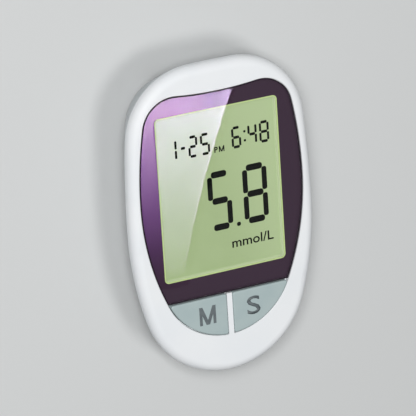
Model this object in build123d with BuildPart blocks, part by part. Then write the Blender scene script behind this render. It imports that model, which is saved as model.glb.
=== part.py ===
from build123d import *
import os
from math import cos, hypot, radians, sqrt, tan

# Hand-held blood glucose meter, millimetres.
# It lies on its back: +Z is the display face, +Y the display end, -Y the test strip end.
# The origin is on the table under the middle of the case.

# ---- walls ---------------------------------------------------------------------------
foot_stand = 0.6          # rubber feet, proud of the back
front_depth = 3.7         # deck to the seam
back_wall = 1.8
deck_wall = 1.8
floor_wall = 1.2          # floor of the window pocket
pocket_depth = 1.6        # deck down to that floor
seam_chamfer = 0.25

# ---- layout of the face, from the display outwards -----------------------------------
view_width = 39.0         # clear area in the printed mask
view_length = 50.5
view_corner = 1.0
mask_side = 6.95          # printed border beside the clear area
mask_top = 5.7
mask_bottom = 6.7
lens_key_gap = 0.3
key_length = 13.0
ring_side = 3.45          # case beside the window
ring_top = 8.8
ring_toe = 12.0

# ---- outline of the case -------------------------------------------------------------
case_widest_y = 0.0
case_crown = 300.0        # radius of the top edge
case_shoulder = 22.0
case_upper_flank = 320.0
case_lower_flank = 100.0
tub_draft = 25.0          # slope of the rear housing's wall
back_edge = 5.0           # rounding where that wall meets the back
ring_round = 2.8          # radius of the ring, from the deck over to the rim
tongue_inset = 2.7
tongue_wall = 0.9
tongue_depth = 1.2

# ---- window: display lens above, two keys below --------------------------------------
window_crown = -112.0     # a hollow edge
window_shoulder = 10.0
window_upper_flank = 123.0
window_narrowing = 6.66   # each flank, from the widest place to the lens's lower edge
window_gap = 0.15         # lens to pocket wall
pocket_lip = 0.2          # broken edge of the pocket
floor_margin = 1.8        # floor reaches past the pocket
lens_thickness = 1.15
lens_chamfer = 0.2
mask_thickness = 0.1
tape_thickness = 0.15
tape_margin = 0.8

# ---- liquid crystal display ----------------------------------------------------------
opening_margin = 0.7      # opening in the pocket's floor, past the clear area
glass_margin = 1.5        # glass past the clear area, sides and top
glass_thickness = 1.1
glass_end = 0.9           # rear glass past the clear area, bottom
glass_ledge = 2.8         # front glass past the rear glass, bottom
polariser_thickness = 0.15
reflector_thickness = 0.2
display_gap = 0.05
frame_wall = 0.9
frame_gap = 0.2
frame_corner = 2.5
frame_ledge = 1.6
frame_foot = 1.4          # board to the reflector
connector_width = 1.8
connector_end_gap = 2.0

# ---- keys ----------------------------------------------------------------------------
key_rib = 1.7             # strip of housing between the keys
key_gap = 0.12
key_corner = 0.7
key_proud = 0.3
key_edge = 0.45
key_wall = 1.1
key_roof = 1.3
key_flange = 0.7
key_flange_thickness = 0.7
key_flange_gap = 0.1
key_travel = 0.5
key_post_radius = 1.5
key_post_x = 8.4
key_post_drop = 5.1       # from the key's top edge
switch_width = 5.2
switch_height = 1.4
switch_foot = 0.8
plunger_radius = 1.0
plunger_gap = 0.05
plunger_engagement = 0.2
press_margin = 0.1        # left under a key pressed right down

# ---- circuit board -------------------------------------------------------------------
board_thickness = 1.2
board_clearance = 0.6
locating_pin_radius = 1.0
locating_pin_inset = 6.9  # from the display end
controller_width = 9.0
controller_height = 1.4
component_gap = 0.9       # between the bay and the parts beside it
controller_rise = 6.0     # above the bay's middle
lead_pitch = 0.8
lead_count = 9
lead_width = 0.35
lead_reach = 1.0
memory_width = 5.0
memory_height = 1.3
memory_rise = -8.0
crystal_radius = 1.5
crystal_length = 8.0
crystal_rise = 18.5
buzzer_radius = 4.5
buzzer_height = 3.0
buzzer_port_radius = 0.9
chip_length = 2.0
chip_width = 1.25
chip_height = 0.8

# ---- AAA cells and their bay ---------------------------------------------------------
cell_radius = 5.25
cell_length = 44.5
cell_pitch = 11.0
cell_nub_radius = 1.9
cell_nub_length = 1.0
cell_edge = 0.6
cell_gap = 0.25           # cell to bay wall and roof
cell_door_gap = 0.9
bay_y = 2.0
bay_wall = 1.2
bay_roof = 0.8
board_seat_gap = 0.2      # bay roof to board
contact_thickness = 0.4
contact_gap = 0.1
contact_width = 8.6
contact_height = 8.0
tail_width = 3.0
spring_length = 3.7
spring_radius = 2.6
spring_wire = 0.3
spring_turns = 3
coil_lean = 12.0          # the spring narrows towards the cell, degrees

# ---- battery door --------------------------------------------------------------------
door_thickness = 1.05
door_gap = 0.15
door_seat_gap = 0.05
door_lap = 1.3            # door past the bay, all round
door_corner = 1.5
tab_width = 4.0
tab_pitch = 13.0
tab_reach = 1.6
tab_thickness = 1.0
tab_root = 3.0
tab_gap = 0.25
latch_width = 8.0
latch_length = 6.0
latch_slot = 0.8
latch_nose = 0.9
latch_height = 0.6
grip_pitch = 1.6
grip_count = 5
grip_height = 0.25
grip_width = 0.7
grip_length = 7.0
scoop_radius = 4.2
scoop_depth = 0.8

# ---- test strip port -----------------------------------------------------------------
strip_drop = 2.1          # below the board
strip_slot_width = 6.6
strip_slot_height = 1.2
port_width = 13.0
port_height = 3.8
port_corner = 0.9
port_flare = 0.7          # widening at the mouth of the slot
port_gap = 0.1
port_flange = 0.8
port_flange_thickness = 0.8
strip_connector_width = 12.0
strip_connector_length = 10.4
strip_connector_below = 1.8
strip_depth = 8.6
strip_contact_count = 4
strip_contact_pitch = 1.5
strip_contact_width = 0.7
strip_contact_thickness = 0.25
groove_gap = 0.2
groove_depth = 0.8

# ---- screws and feet -----------------------------------------------------------------
top_screw_x = 9.5
top_screw_inset = 9.2     # from the display end
toe_screw_x = 10.0
toe_screw_inset = 10.5    # from the strip end
screw_radius = 1.1
screw_length = 10.2
screw_head_radius = 2.0
screw_head_height = 1.4
screw_head_gap = 0.15
screw_socket = 0.7
column_radius = 3.0
column_seat = 6.2         # board's underside down to the screw head's seat
boss_radius = 2.3
thread_gap = 0.02
foot_length = 9.0
foot_width = 3.6
foot_recess = 0.5
foot_gap = 0.05
foot_edge = 0.35
foot_x = 7.2
foot_top_gap = 2.9        # from the door to the feet
foot_toe_gap = 3.5

# ---- worked out: the face ------------------------------------------------------------
lens_length = mask_top + view_length + mask_bottom
case_length = ring_top + lens_length + lens_key_gap + key_length + ring_toe
window_width = view_width + 2 * mask_side
case_width = window_width + 2 * ring_side
case_end_y = case_length / 2
window_top_y = case_end_y - ring_top
window_toe_y = ring_toe - case_end_y
view_y = window_top_y - mask_top - view_length / 2
lens_bottom_y = window_top_y - lens_length
key_top_y = lens_bottom_y - lens_key_gap
key_post_y = key_top_y - key_post_drop
window_lower_flank = (((view_y - lens_bottom_y)**2 + window_narrowing**2)
                      / (2 * window_narrowing))

# ---- worked out: heights, from the table up ------------------------------------------
back_z = foot_stand
floor_z = back_z + back_wall
door_top_z = back_z + door_thickness
door_seat_z = door_top_z + door_seat_gap
cell_z = door_top_z + cell_door_gap + cell_radius
roof_z = cell_z + cell_radius + cell_gap
roof_top_z = roof_z + bay_roof
board_z = roof_top_z + board_seat_gap
board_top_z = board_z + board_thickness
reflector_z = board_top_z + frame_foot
rear_glass_z = reflector_z + reflector_thickness
front_glass_z = rear_glass_z + glass_thickness
polariser_z = front_glass_z + glass_thickness
pocket_under_z = polariser_z + polariser_thickness + display_gap
pocket_z = pocket_under_z + floor_wall
deck_z = pocket_z + pocket_depth
deck_under_z = deck_z - deck_wall
seam_z = deck_z - front_depth
mask_z = pocket_z + tape_thickness
lens_z = mask_z + mask_thickness
key_z = deck_z + key_proud
flange_top_z = pocket_under_z - key_flange_gap
flange_z = flange_top_z - key_flange_thickness
switch_top_z = board_top_z + switch_height
plunger_top_z = switch_top_z + key_travel + press_margin
plunger_foot_z = switch_top_z - plunger_engagement
strip_z = board_z - strip_drop
strip_connector_z = strip_z - strip_connector_below
port_foot_z = strip_z - port_height / 2 - port_flange
screw_seat_z = board_z - column_seat

# ---- worked out: places across the case ----------------------------------------------
draft_slope = tan(radians(tub_draft))
wall_run = back_wall / cos(radians(tub_draft))
board_inset = wall_run + (seam_z - board_z) * draft_slope + board_clearance
opening_width = view_width + 2 * opening_margin
opening_length = view_length + 2 * opening_margin
glass_width = view_width + 2 * glass_margin
glass_top_y = view_y + view_length / 2 + glass_margin
rear_glass_y = view_y - view_length / 2 - glass_end
front_glass_y = rear_glass_y - glass_ledge
bay_half_width = cell_pitch / 2 + cell_radius + cell_gap
bay_length = cell_length + spring_length + 2 * (contact_thickness + contact_gap)
bay_top_y = bay_y + bay_length / 2
bay_bottom_y = bay_y - bay_length / 2
hinge_y = bay_top_y + door_lap
latch_y = bay_bottom_y - door_lap
foot_places_y = (hinge_y + foot_top_gap + foot_width / 2,
                 latch_y - foot_toe_gap - foot_width / 2)
component_x = (bay_half_width + bay_wall + component_gap + lead_reach
               + controller_width / 2)
buzzer_x = -(bay_half_width + bay_wall + component_gap + buzzer_radius)
controller_y = bay_y + controller_rise
memory_y = bay_y + memory_rise
crystal_y = bay_y + crystal_rise
locating_pin_y = case_end_y - locating_pin_inset
screw_places = [(side * x, y) for side in (-1, 1)
                for x, y in ((top_screw_x, case_end_y - top_screw_inset),
                             (toe_screw_x, toe_screw_inset - case_end_y))]


def meeting_point(centre_a, radius_a, centre_b, radius_b):
    """Where two circles cross, the crossing further to the right."""
    across = (centre_b[0] - centre_a[0], centre_b[1] - centre_a[1])
    gap = hypot(*across)
    along = (radius_a**2 - radius_b**2 + gap**2) / (2 * gap)
    off = sqrt(radius_a**2 - along**2)
    unit = (across[0] / gap, across[1] / gap)
    foot = (centre_a[0] + along * unit[0], centre_a[1] + along * unit[1])
    crossings = [(foot[0] - s * off * unit[1], foot[1] + s * off * unit[0]) for s in (-1, 1)]
    return max(crossings)


def point_towards(start, target, distance):
    """Point at a distance from start, on the line to target."""
    reach = hypot(target[0] - start[0], target[1] - start[1])
    return (start[0] + (target[0] - start[0]) * distance / reach,
            start[1] + (target[1] - start[1]) * distance / reach)


def toe_arc(width, widest_y, toe_y, flank):
    """Radius and centre height of the toe arc that runs smoothly into both flanks."""
    reach = flank - width / 2
    drop = widest_y - toe_y
    radius = (flank**2 - reach**2 - drop**2) / (2 * (flank - drop))
    return radius, toe_y + radius


def shield(width, widest_y, top_y, toe_y, crown, shoulder, upper_flank, lower_flank):
    """Shield outline of arcs that run smoothly into each other.

    A crown (hollow where its radius is negative), shoulders, two arcs down each flank
    that meet at the widest place, and a round toe.
    """
    half = width / 2
    crown_centre = (0, top_y - crown)
    upper_centre = (half - upper_flank, widest_y)
    lower_centre = (half - lower_flank, widest_y)
    shoulder_centre = meeting_point(
        crown_centre, abs(crown - shoulder), upper_centre, upper_flank - shoulder)
    crown_end = point_towards(crown_centre, shoulder_centre, abs(crown))
    shoulder_end = point_towards(upper_centre, shoulder_centre, upper_flank)
    toe_radius, toe_centre_y = toe_arc(width, widest_y, toe_y, lower_flank)
    flank_end = point_towards(lower_centre, (0, toe_centre_y), lower_flank)
    with BuildSketch() as outline:
        with BuildLine():
            crown_line = TangentArc((0, top_y), crown_end, tangent=(1, 0))
            TangentArc(crown_end, shoulder_end, tangent=crown_line % 1)
            TangentArc((half, widest_y), shoulder_end, tangent=(0, 1))
            TangentArc((half, widest_y), flank_end, tangent=(0, -1))
            TangentArc((0, toe_y), flank_end, tangent=(1, 0))
            mirror(about=Plane.YZ)
        make_face()
    return outline.sketch


def case_shape(grow):
    """Outline of the case, moved outwards by grow."""
    return shield(case_width + 2 * grow, case_widest_y, case_end_y + grow,
                  -case_end_y - grow, case_crown + grow, case_shoulder + grow,
                  case_upper_flank + grow, case_lower_flank + grow)


def window_shape(grow):
    """Outline of the window, moved outwards by grow."""
    return shield(window_width + 2 * grow, view_y, window_top_y + grow,
                  window_toe_y - grow, window_crown + grow, window_shoulder + grow,
                  window_upper_flank + grow, window_lower_flank + grow)


case_toe_radius, case_toe_centre_y = toe_arc(
    case_width, case_widest_y, -case_end_y, case_lower_flank)
key_radius, key_centre_y = toe_arc(
    window_width, view_y, window_toe_y, window_lower_flank)


def lens_shape(grow):
    """Upper part of the window, down to the lens's straight edge."""
    with BuildSketch() as shape:
        add(window_shape(grow))
        with Locations((0, lens_bottom_y - grow)):
            Rectangle(2 * case_width, case_length, align=(Align.CENTER, Align.MIN),
                      mode=Mode.INTERSECT)
    return shape.sketch


def key_shape(side, grow):
    """One key's quarter of the window's toe; side is -1 for the left key, 1 for the right."""
    inner_x = key_rib / 2 + key_gap - grow
    with BuildSketch() as shape:
        with Locations((0, key_centre_y)):
            Circle(key_radius - key_gap + grow)
        with Locations((side * inner_x, key_top_y + grow)):
            Rectangle(case_width, case_length,
                      align=(Align.MIN if side > 0 else Align.MAX, Align.MAX),
                      mode=Mode.INTERSECT)
        fillet(shape.vertices(), key_corner)
    return shape.sketch


def tub(grow, bottom_z, edge_radius):
    """Drafted tub below the seam, its outline moved outwards by grow."""
    with BuildPart() as form:
        with BuildSketch(Plane.XY.offset(seam_z)):
            add(case_shape(grow))
        with BuildSketch(Plane.XY.offset(bottom_z)):
            add(case_shape(grow - (seam_z - bottom_z) * draft_slope))
        loft(ruled=True)
        fillet(form.faces().sort_by(Axis.Z)[0].edges(), edge_radius)
    return form.part


outer_tub = tub(0, back_z, back_edge)
inner_tub = tub(-wall_run, floor_z, back_edge - back_wall)

# ---- front housing -------------------------------------------------------------------
with BuildPart() as front_housing:
    with BuildSketch(Plane.XY.offset(seam_z)):
        add(case_shape(0))
    extrude(amount=front_depth)
    fillet(front_housing.faces().sort_by(Axis.Z)[-1].edges(), ring_round)
    chamfer(front_housing.faces().sort_by(Axis.Z)[0].edges(), seam_chamfer)
    # hollow, with the tongue that locates the rear housing
    with BuildSketch(Plane.XY.offset(seam_z - tongue_depth)):
        add(case_shape(-tongue_inset))
    extrude(amount=tongue_depth + front_depth - deck_wall)
    with BuildSketch(Plane.XY.offset(seam_z - tongue_depth)):
        add(case_shape(-tongue_inset - tongue_wall))
    extrude(amount=tongue_depth + front_depth - deck_wall, mode=Mode.SUBTRACT)
    # pocket for the lens and keys, with its floor
    with BuildSketch(Plane.XY.offset(pocket_under_z)):
        add(window_shape(floor_margin))
    extrude(amount=floor_wall)
    with BuildSketch(Plane.XY.offset(pocket_z)):
        add(window_shape(window_gap))
    extrude(amount=pocket_depth, mode=Mode.SUBTRACT)
    with BuildSketch(Plane.XY.offset(deck_z - pocket_lip)):
        add(window_shape(window_gap))
    with BuildSketch(Plane.XY.offset(deck_z)):
        add(window_shape(window_gap + pocket_lip))
    loft(ruled=True, mode=Mode.SUBTRACT)
    with BuildSketch(Plane.XY.offset(pocket_under_z)):
        with Locations((0, view_y)):
            Rectangle(opening_width, opening_length)
    extrude(amount=floor_wall, mode=Mode.SUBTRACT)
    for side in (-1, 1):
        with BuildSketch(Plane.XY.offset(pocket_under_z)):
            add(key_shape(side, key_gap))
        extrude(amount=floor_wall, mode=Mode.SUBTRACT)
    with BuildSketch(Plane.XY.offset(pocket_under_z)):
        with Locations((0, key_top_y)):
            Rectangle(key_rib, key_top_y - window_toe_y + floor_margin,
                      align=(Align.CENTER, Align.MAX))
    extrude(amount=floor_wall + pocket_depth)
    # bosses that the case screws bite into, and a pin that locates the board
    with BuildSketch(Plane.XY.offset(board_top_z)):
        with Locations(screw_places):
            Circle(boss_radius)
    extrude(amount=deck_under_z - board_top_z)
    with BuildSketch(Plane.XY.offset(board_z)):
        with Locations((0, locating_pin_y)):
            Circle(locating_pin_radius)
    extrude(amount=deck_under_z - board_z)
    with BuildSketch(Plane.XY.offset(board_top_z)):
        with Locations(screw_places):
            Circle(screw_radius + thread_gap)
    extrude(amount=screw_seat_z + screw_length + thread_gap - board_top_z, mode=Mode.SUBTRACT)
front_housing.part.label = "front_housing"

# ---- rear housing --------------------------------------------------------------------
with BuildPart() as columns:
    with BuildSketch(Plane.XY.offset(back_z)):
        with Locations(screw_places):
            Circle(column_radius)
    extrude(amount=board_z - back_z)
    add(outer_tub, mode=Mode.INTERSECT)

bay_outer_half = bay_half_width + bay_wall
bay_outer_length = bay_length + 2 * bay_wall
door_half_width = bay_half_width + door_lap
door_length = bay_length + 2 * door_lap
tab_swing = hypot(tab_reach, door_seat_z + tab_thickness - back_z) + tab_gap
# the port's flange sits against the toe's inner wall, touching at its lowest corners
inner_toe_radius = case_toe_radius - wall_run - (seam_z - port_foot_z) * draft_slope
port_flange_y = port_gap + case_toe_centre_y - sqrt(
    inner_toe_radius**2 - (port_width / 2 + port_flange)**2)
strip_connector_y = port_flange_y + port_flange_thickness + port_gap
port_mouth_y = -case_end_y
port_depth = port_flange_y - port_mouth_y
port_face_y = port_mouth_y + (seam_z - strip_z) * draft_slope + port_flare

with BuildPart() as rear_housing:
    add(outer_tub)
    chamfer(rear_housing.faces().sort_by(Axis.Z)[-1].edges(), seam_chamfer)
    add(inner_tub, mode=Mode.SUBTRACT)
    add(columns.part)
    # battery bay: four walls and a roof
    with BuildSketch(Plane.XY.offset(floor_z)):
        with Locations((0, bay_y)):
            Rectangle(2 * bay_outer_half, bay_outer_length)
    extrude(amount=roof_top_z - floor_z)
    with BuildSketch(Plane.XY.offset(back_z)):
        with Locations((0, bay_y)):
            Rectangle(2 * bay_half_width, bay_length)
    extrude(amount=roof_z - back_z, mode=Mode.SUBTRACT)
    # slots in the roof for the contacts' tails
    with BuildSketch(Plane.XY.offset(roof_z)):
        for side in (-1, 1):
            with Locations((side * cell_pitch / 2, bay_bottom_y)):
                Rectangle(tail_width + 2 * contact_gap, contact_thickness + 2 * contact_gap,
                          align=(Align.CENTER, Align.MIN))
    extrude(amount=bay_roof, mode=Mode.SUBTRACT)
    # seat for the door, pockets for its tabs, and a scoop for a fingertip at its latch
    with BuildSketch(Plane.XY.offset(back_z)):
        with Locations((0, bay_y)):
            RectangleRounded(2 * (door_half_width + door_gap), door_length + 2 * door_gap,
                             door_corner + door_gap)
    extrude(amount=door_seat_z - back_z, mode=Mode.SUBTRACT)
    with BuildSketch(Plane.XY.offset(door_top_z - door_seat_gap)):
        with Locations((-tab_pitch / 2, bay_top_y - door_gap), (tab_pitch / 2, bay_top_y - door_gap)):
            Rectangle(tab_width + 2 * tab_gap, door_lap + tab_reach + tab_gap + door_gap,
                      align=(Align.CENTER, Align.MIN))
    extrude(amount=back_z + tab_swing - door_top_z + door_seat_gap, mode=Mode.SUBTRACT)
    with BuildSketch(Plane.XY.offset(door_seat_z)):
        with Locations((0, latch_y)):
            Rectangle(latch_width, door_lap, align=(Align.CENTER, Align.MIN))
    extrude(amount=floor_z - door_seat_z, mode=Mode.SUBTRACT)
    scoop_ball = (scoop_radius**2 + scoop_depth**2) / (2 * scoop_depth)
    with Locations((0, latch_y - door_gap, back_z + scoop_depth - scoop_ball)):
        Sphere(scoop_ball, mode=Mode.SUBTRACT)
    # recesses for the rubber feet
    with BuildSketch(Plane.XY.offset(back_z)):
        for y in foot_places_y:
            with Locations((-foot_x, y), (foot_x, y)):
                SlotOverall(foot_length + 2 * foot_gap, foot_width + 2 * foot_gap)
    extrude(amount=foot_recess, mode=Mode.SUBTRACT)
    # screw holes, counterbored from the back
    with BuildSketch(Plane.XY.offset(back_z)):
        with Locations(screw_places):
            Circle(screw_head_radius + screw_head_gap)
    extrude(amount=screw_seat_z - back_z, mode=Mode.SUBTRACT)
    with BuildSketch(Plane.XY.offset(screw_seat_z)):
        with Locations(screw_places):
            Circle(screw_radius + screw_head_gap)
    extrude(amount=board_z - screw_seat_z, mode=Mode.SUBTRACT)
    # opening for the strip port's bezel
    with BuildSketch(Plane.XZ.offset(-port_mouth_y)):
        with Locations((0, strip_z)):
            RectangleRounded(port_width + 2 * port_gap, port_height + 2 * port_gap,
                             port_corner + port_gap)
    extrude(amount=-port_depth, mode=Mode.SUBTRACT)
rear_housing.part.label = "rear_housing"

# ---- battery door --------------------------------------------------------------------
with BuildPart() as battery_door:
    with BuildSketch(Plane.XY.offset(back_z)):
        with Locations((0, bay_y)):
            RectangleRounded(2 * door_half_width, door_length, door_corner)
    extrude(amount=door_thickness)
    # tabs that hook under the housing
    with BuildSketch(Plane.XY.offset(door_top_z)):
        with Locations((-tab_pitch / 2, hinge_y + tab_reach), (tab_pitch / 2, hinge_y + tab_reach)):
            Rectangle(tab_width, tab_root + tab_reach, align=(Align.CENTER, Align.MAX))
    extrude(amount=tab_thickness)
    # springy latch tongue between two slots, with its nose
    with BuildSketch(Plane.XY.offset(back_z)):
        with Locations((-latch_width / 2, latch_y), (latch_width / 2, latch_y)):
            Rectangle(latch_slot, latch_length, align=(Align.CENTER, Align.MIN))
    extrude(amount=door_thickness, mode=Mode.SUBTRACT)
    with BuildSketch(Plane.XY.offset(door_top_z)):
        with Locations((0, latch_y)):
            Rectangle(latch_width - 2 * latch_slot, latch_nose, align=(Align.CENTER, Align.MIN))
    extrude(amount=latch_height)
    # raised lines for the thumb
    with BuildSketch(Plane.XY.offset(back_z)):
        with Locations((0, latch_y + latch_length + grip_pitch * (grip_count + 1) / 2)):
            with GridLocations(0, grip_pitch, 1, grip_count):
                SlotOverall(grip_length, grip_width)
    extrude(amount=-grip_height)
battery_door.part.label = "battery_door"

# ---- lens, its printed mask and its tape ---------------------------------------------
with BuildPart() as display_lens:
    with BuildSketch(Plane.XY.offset(lens_z)):
        add(lens_shape(0))
    extrude(amount=lens_thickness)
    chamfer(display_lens.faces().sort_by(Axis.Z)[-1].edges(), lens_chamfer)
display_lens.part.label = "display_lens"

with BuildPart() as lens_mask:
    with BuildSketch(Plane.XY.offset(mask_z)):
        add(lens_shape(0))
        with Locations((0, view_y)):
            RectangleRounded(view_width, view_length, view_corner, mode=Mode.SUBTRACT)
    extrude(amount=mask_thickness)
lens_mask.part.label = "lens_mask"

with BuildPart() as lens_tape:
    with BuildSketch(Plane.XY.offset(pocket_z)):
        add(lens_shape(-tape_margin))
        with Locations((0, view_y)):
            Rectangle(opening_width, opening_length, mode=Mode.SUBTRACT)
    extrude(amount=tape_thickness)
lens_tape.part.label = "lens_tape"

# ---- liquid crystal display ----------------------------------------------------------
display_layers = {
    "front_polariser": (polariser_z, polariser_thickness, rear_glass_y + frame_gap,
                        frame_gap),
    "lcd_front_glass": (front_glass_z, glass_thickness, front_glass_y, 0),
    "lcd_rear_glass": (rear_glass_z, glass_thickness, rear_glass_y, 0),
    "rear_reflector": (reflector_z, reflector_thickness, rear_glass_y + frame_gap,
                       frame_gap),
}
display_parts = {}
for name, (layer_z, thickness, bottom_y, inset) in display_layers.items():
    with BuildPart() as layer:
        with BuildSketch(Plane.XY.offset(layer_z)):
            with Locations((0, bottom_y)):
                Rectangle(glass_width - 2 * inset, glass_top_y - inset - bottom_y,
                          align=(Align.CENTER, Align.MIN))
        extrude(amount=thickness)
    layer.part.label = name
    display_parts[name] = layer.part

frame_inner_width = glass_width + 2 * frame_gap
frame_inner_length = glass_top_y - front_glass_y + 2 * frame_gap
frame_y = (glass_top_y + front_glass_y) / 2
with BuildPart() as lcd_frame:
    with BuildSketch(Plane.XY.offset(board_top_z)):
        with Locations((0, frame_y)):
            RectangleRounded(frame_inner_width + 2 * frame_wall,
                             frame_inner_length + 2 * frame_wall, frame_corner)
    extrude(amount=polariser_z - board_top_z)
    with BuildSketch(Plane.XY.offset(reflector_z)):
        with Locations((0, frame_y)):
            Rectangle(frame_inner_width, frame_inner_length)
    extrude(amount=deck_z - reflector_z, mode=Mode.SUBTRACT)
    with BuildSketch(Plane.XY.offset(board_top_z)):
        with Locations((0, front_glass_y - frame_gap)):
            Rectangle(frame_inner_width - 2 * frame_ledge,
                      frame_inner_length - frame_ledge, align=(Align.CENTER, Align.MIN))
    extrude(amount=reflector_z - board_top_z, mode=Mode.SUBTRACT)
lcd_frame.part.label = "lcd_frame"

with BuildPart() as lcd_connector:
    with BuildSketch(Plane.XY.offset(board_top_z)):
        with Locations((0, (front_glass_y + rear_glass_y) / 2)):
            Rectangle(view_width - 2 * connector_end_gap, connector_width)
    extrude(amount=front_glass_z - board_top_z)
lcd_connector.part.label = "lcd_connector"

# ---- keys and their switches ---------------------------------------------------------
key_parts = {}
for side, name in ((-1, "left"), (1, "right")):
    with BuildPart() as key:
        with BuildSketch(Plane.XY.offset(flange_top_z)):
            add(key_shape(side, 0))
        extrude(amount=key_z - flange_top_z)
        fillet(key.faces().sort_by(Axis.Z)[-1].edges(), key_edge)
        with BuildSketch(Plane.XY.offset(flange_z)):
            add(key_shape(side, key_flange))
        extrude(amount=key_flange_thickness)
        with BuildSketch(Plane.XY.offset(flange_z)):
            add(key_shape(side, -key_wall))
        extrude(amount=key_z - key_roof - flange_z, mode=Mode.SUBTRACT)
        with BuildSketch(Plane.XY.offset(plunger_top_z)):
            with Locations((side * key_post_x, key_post_y)):
                Circle(key_post_radius)
        extrude(amount=key_z - key_roof - plunger_top_z)
    with BuildPart() as switch_case:
        with BuildSketch(Plane.XY.offset(board_top_z)):
            with Locations((side * key_post_x, key_post_y)):
                Rectangle(switch_width, switch_width)
                with GridLocations(switch_width, switch_width - switch_foot, 2, 2):
                    Rectangle(switch_foot, switch_foot)
        extrude(amount=switch_height)
        with BuildSketch(Plane.XY.offset(plunger_foot_z - key_travel - press_margin)):
            with Locations((side * key_post_x, key_post_y)):
                Circle(plunger_radius + plunger_gap)
        extrude(amount=switch_height, mode=Mode.SUBTRACT)
    with BuildPart() as switch_plunger:
        with BuildSketch(Plane.XY.offset(plunger_foot_z)):
            with Locations((side * key_post_x, key_post_y)):
                Circle(plunger_radius)
        extrude(amount=plunger_top_z - plunger_foot_z)
    for piece, kind in ((key, "button"), (switch_case, "switch_case"),
                        (switch_plunger, "switch_plunger")):
        piece.part.label = f"{name}_{kind}"
        key_parts[piece.part.label] = piece.part

# ---- circuit board and what is soldered to it ----------------------------------------
tail_places = [(side * cell_pitch / 2, bay_bottom_y + contact_gap + contact_thickness / 2)
               for side in (-1, 1)]
with BuildPart() as main_board:
    with BuildSketch(Plane.XY.offset(board_z)):
        add(case_shape(-board_inset))
        with Locations(screw_places):
            Circle(screw_radius + screw_head_gap, mode=Mode.SUBTRACT)
        with Locations((0, locating_pin_y)):
            Circle(locating_pin_radius + thread_gap, mode=Mode.SUBTRACT)
        with Locations(tail_places):
            Rectangle(tail_width + 2 * thread_gap, contact_thickness + 2 * thread_gap,
                      mode=Mode.SUBTRACT)
    extrude(amount=board_thickness)
main_board.part.label = "main_board"

with BuildPart() as microcontroller:
    with BuildSketch(Plane.XY.offset(board_z)):
        with Locations((component_x, controller_y)):
            RectangleRounded(controller_width, controller_width, lead_width)
    extrude(amount=-controller_height)
    with BuildSketch(Plane.XY.offset(board_z)):
        with Locations((component_x, controller_y)):
            with GridLocations(controller_width + lead_reach, lead_pitch, 2, lead_count):
                Rectangle(lead_reach, lead_width)
            with GridLocations(lead_pitch, controller_width + lead_reach, lead_count, 2):
                Rectangle(lead_width, lead_reach)
    extrude(amount=-lead_width)
microcontroller.part.label = "microcontroller"

with BuildPart() as memory_chip:
    with BuildSketch(Plane.XY.offset(board_z)):
        with Locations((component_x, memory_y)):
            Rectangle(memory_width, memory_width)
    extrude(amount=-memory_height)
    with BuildSketch(Plane.XY.offset(board_z)):
        with Locations((component_x, memory_y)):
            with GridLocations(memory_width + lead_reach, 2 * lead_pitch, 2, lead_count // 3):
                Rectangle(lead_reach, lead_width)
    extrude(amount=-lead_width)
memory_chip.part.label = "memory_chip"

with BuildPart() as crystal:
    with BuildSketch(Plane.XZ.offset(-crystal_y - crystal_length / 2)):
        with Locations((component_x, board_z - crystal_radius)):
            Circle(crystal_radius)
    extrude(amount=crystal_length)
    fillet(crystal.faces().sort_by(Axis.Y)[-1].edges(), crystal_radius / 2)
crystal.part.label = "crystal"

with BuildPart() as buzzer:
    with BuildSketch(Plane.XY.offset(board_z)):
        with Locations((buzzer_x, controller_y)):
            Circle(buzzer_radius)
    extrude(amount=-buzzer_height)
    with BuildSketch(Plane.XY.offset(board_z - buzzer_height)):
        with Locations((buzzer_x, controller_y)):
            Circle(buzzer_port_radius)
    extrude(amount=buzzer_height / 2, mode=Mode.SUBTRACT)
    chamfer(buzzer.faces().sort_by(Axis.Z)[0].outer_wire().edges(), lead_width)
buzzer.part.label = "buzzer"

with BuildPart() as passives:
    with BuildSketch(Plane.XY.offset(board_z)):
        with Locations((-component_x, memory_y), (-component_x, crystal_y)):
            with GridLocations(chip_length * 2, chip_width * 2, 2, 3):
                Rectangle(chip_length, chip_width)
    extrude(amount=-chip_height)
passives.part.label = "passives"

# ---- cells and their contacts --------------------------------------------------------
contact_z = cell_z - contact_height / 2
cell_parts = {}
for side, name in ((-1, "left"), (1, "right")):
    # the left cell's nub points up the case, the right cell's down it
    nub_y = bay_y - side * (bay_length / 2 - contact_gap - contact_thickness)
    with BuildPart() as cell:
        with BuildSketch(Plane.XZ.offset(-nub_y)):
            with Locations((side * cell_pitch / 2, cell_z)):
                Circle(cell_nub_radius)
        extrude(amount=-side * cell_length)
        with BuildSketch(Plane.XZ.offset(-nub_y - side * cell_nub_length)):
            with Locations((side * cell_pitch / 2, cell_z)):
                Circle(cell_radius)
        extrude(amount=-side * (cell_length - cell_nub_length))
        rims = cell.edges().filter_by(GeomType.CIRCLE).sort_by(SortBy.RADIUS)[-2:]
        fillet(rims, cell_edge)
    cell.part.label = f"{name}_battery"
    cell_parts[cell.part.label] = cell.part

with BuildPart() as bridge_contact:
    with BuildSketch(Plane.XY.offset(contact_z)):
        with Locations((0, bay_top_y - contact_gap)):
            Rectangle(cell_pitch + contact_width, contact_thickness,
                      align=(Align.CENTER, Align.MAX))
    extrude(amount=contact_height)
bridge_contact.part.label = "bridge_contact"

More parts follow.
